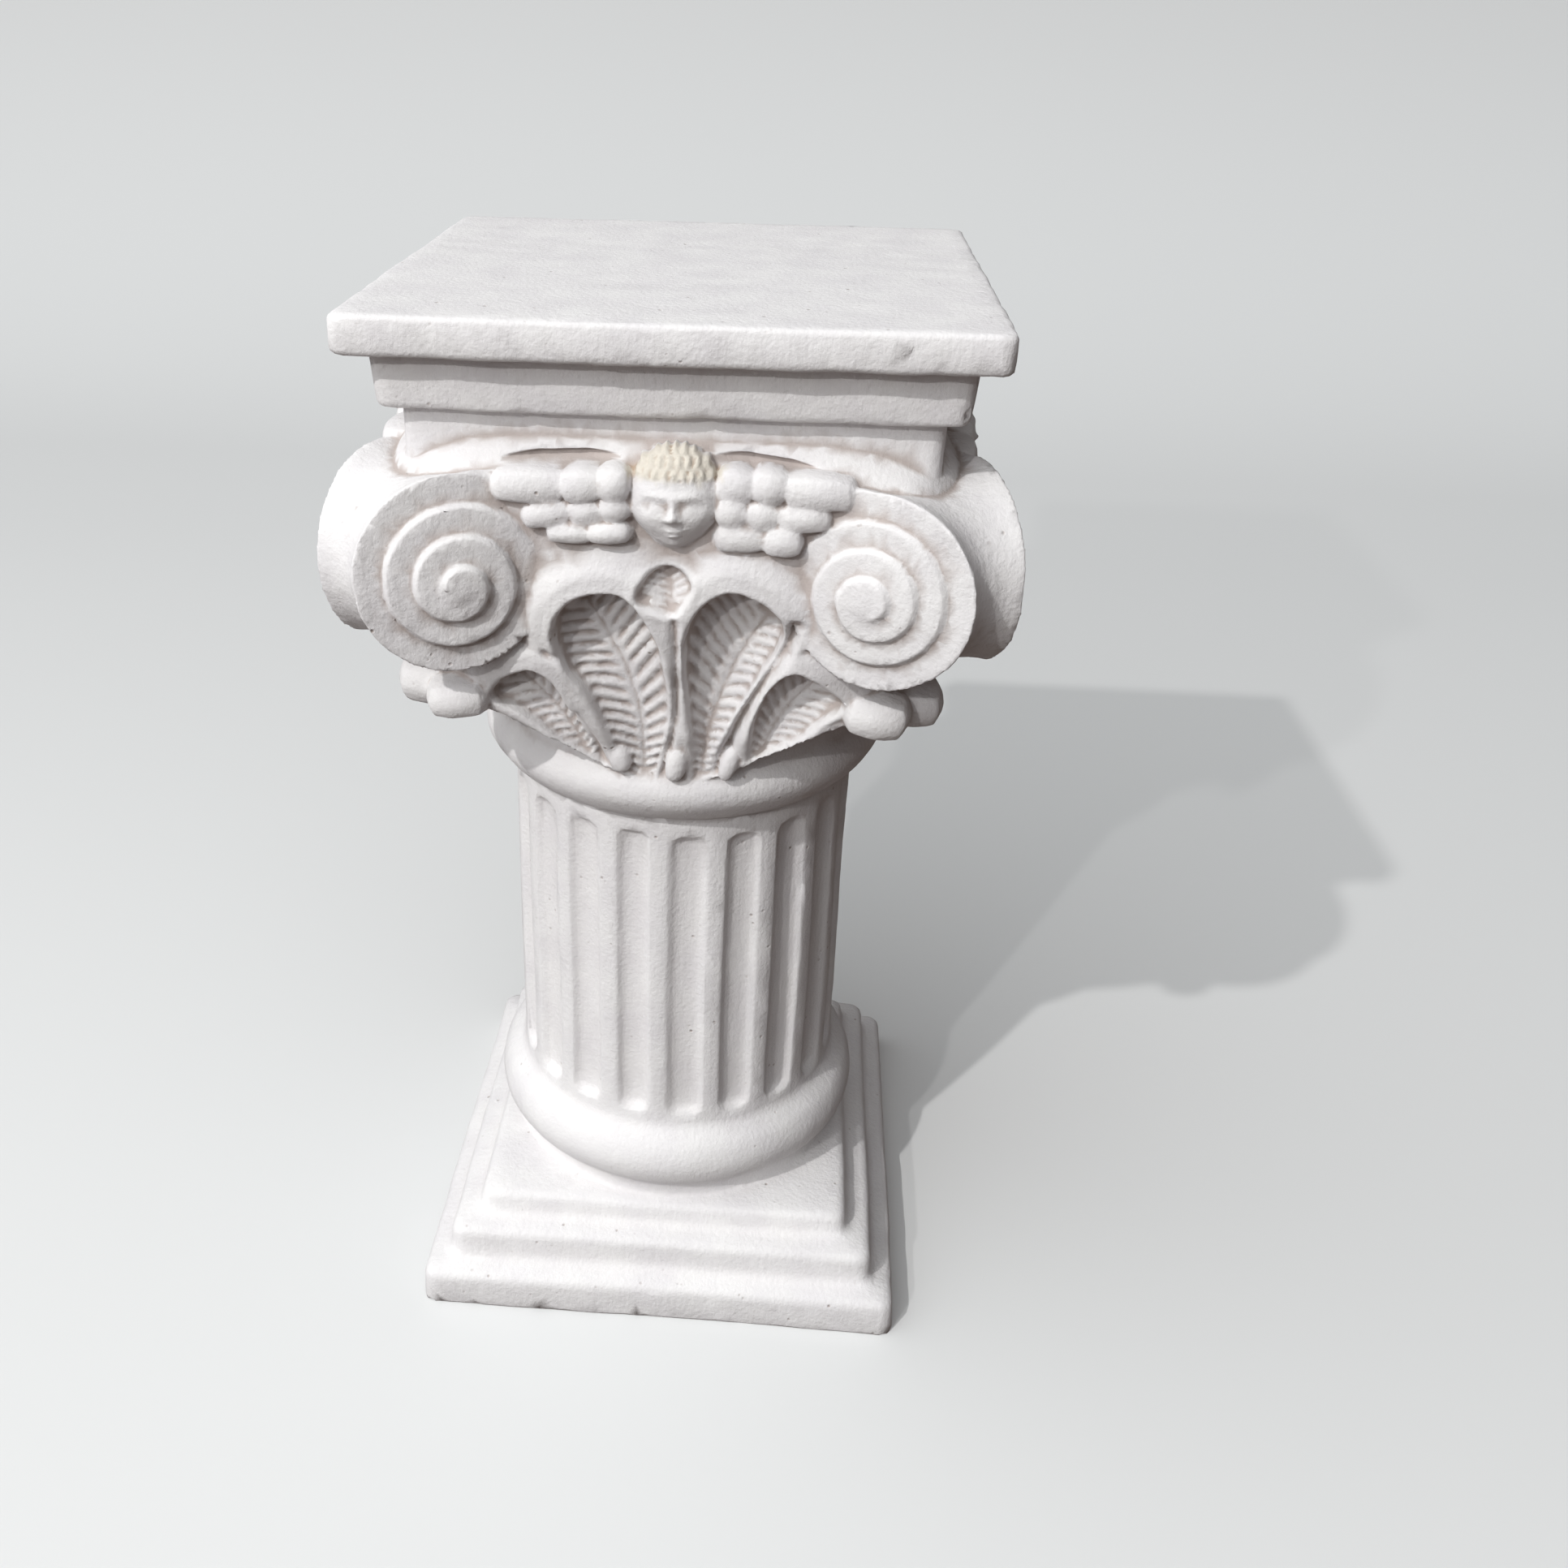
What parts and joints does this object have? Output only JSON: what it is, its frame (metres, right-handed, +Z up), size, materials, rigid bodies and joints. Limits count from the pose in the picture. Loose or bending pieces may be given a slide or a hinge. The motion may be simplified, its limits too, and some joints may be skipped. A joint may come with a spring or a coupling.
{
  "type": "column pedestal",
  "caption": "Small cast plaster column with a stepped square plinth, fluted shaft and a carved capital with scrolls, leaves and winged heads under a square slab.",
  "frame": {"origin": "middle of the plinth's underside", "axes": "+Z up along the shaft, -Y towards the front face"},
  "size_m": [0.1104, 0.1104, 0.2],
  "materials": {
    "plaster": "matte white gypsum plaster, unpainted, with fine air holes and soft worn edges"
  },
  "bodies": {
    "root": {"column_pedestal": "plaster"}
  },
  "joints": []
}
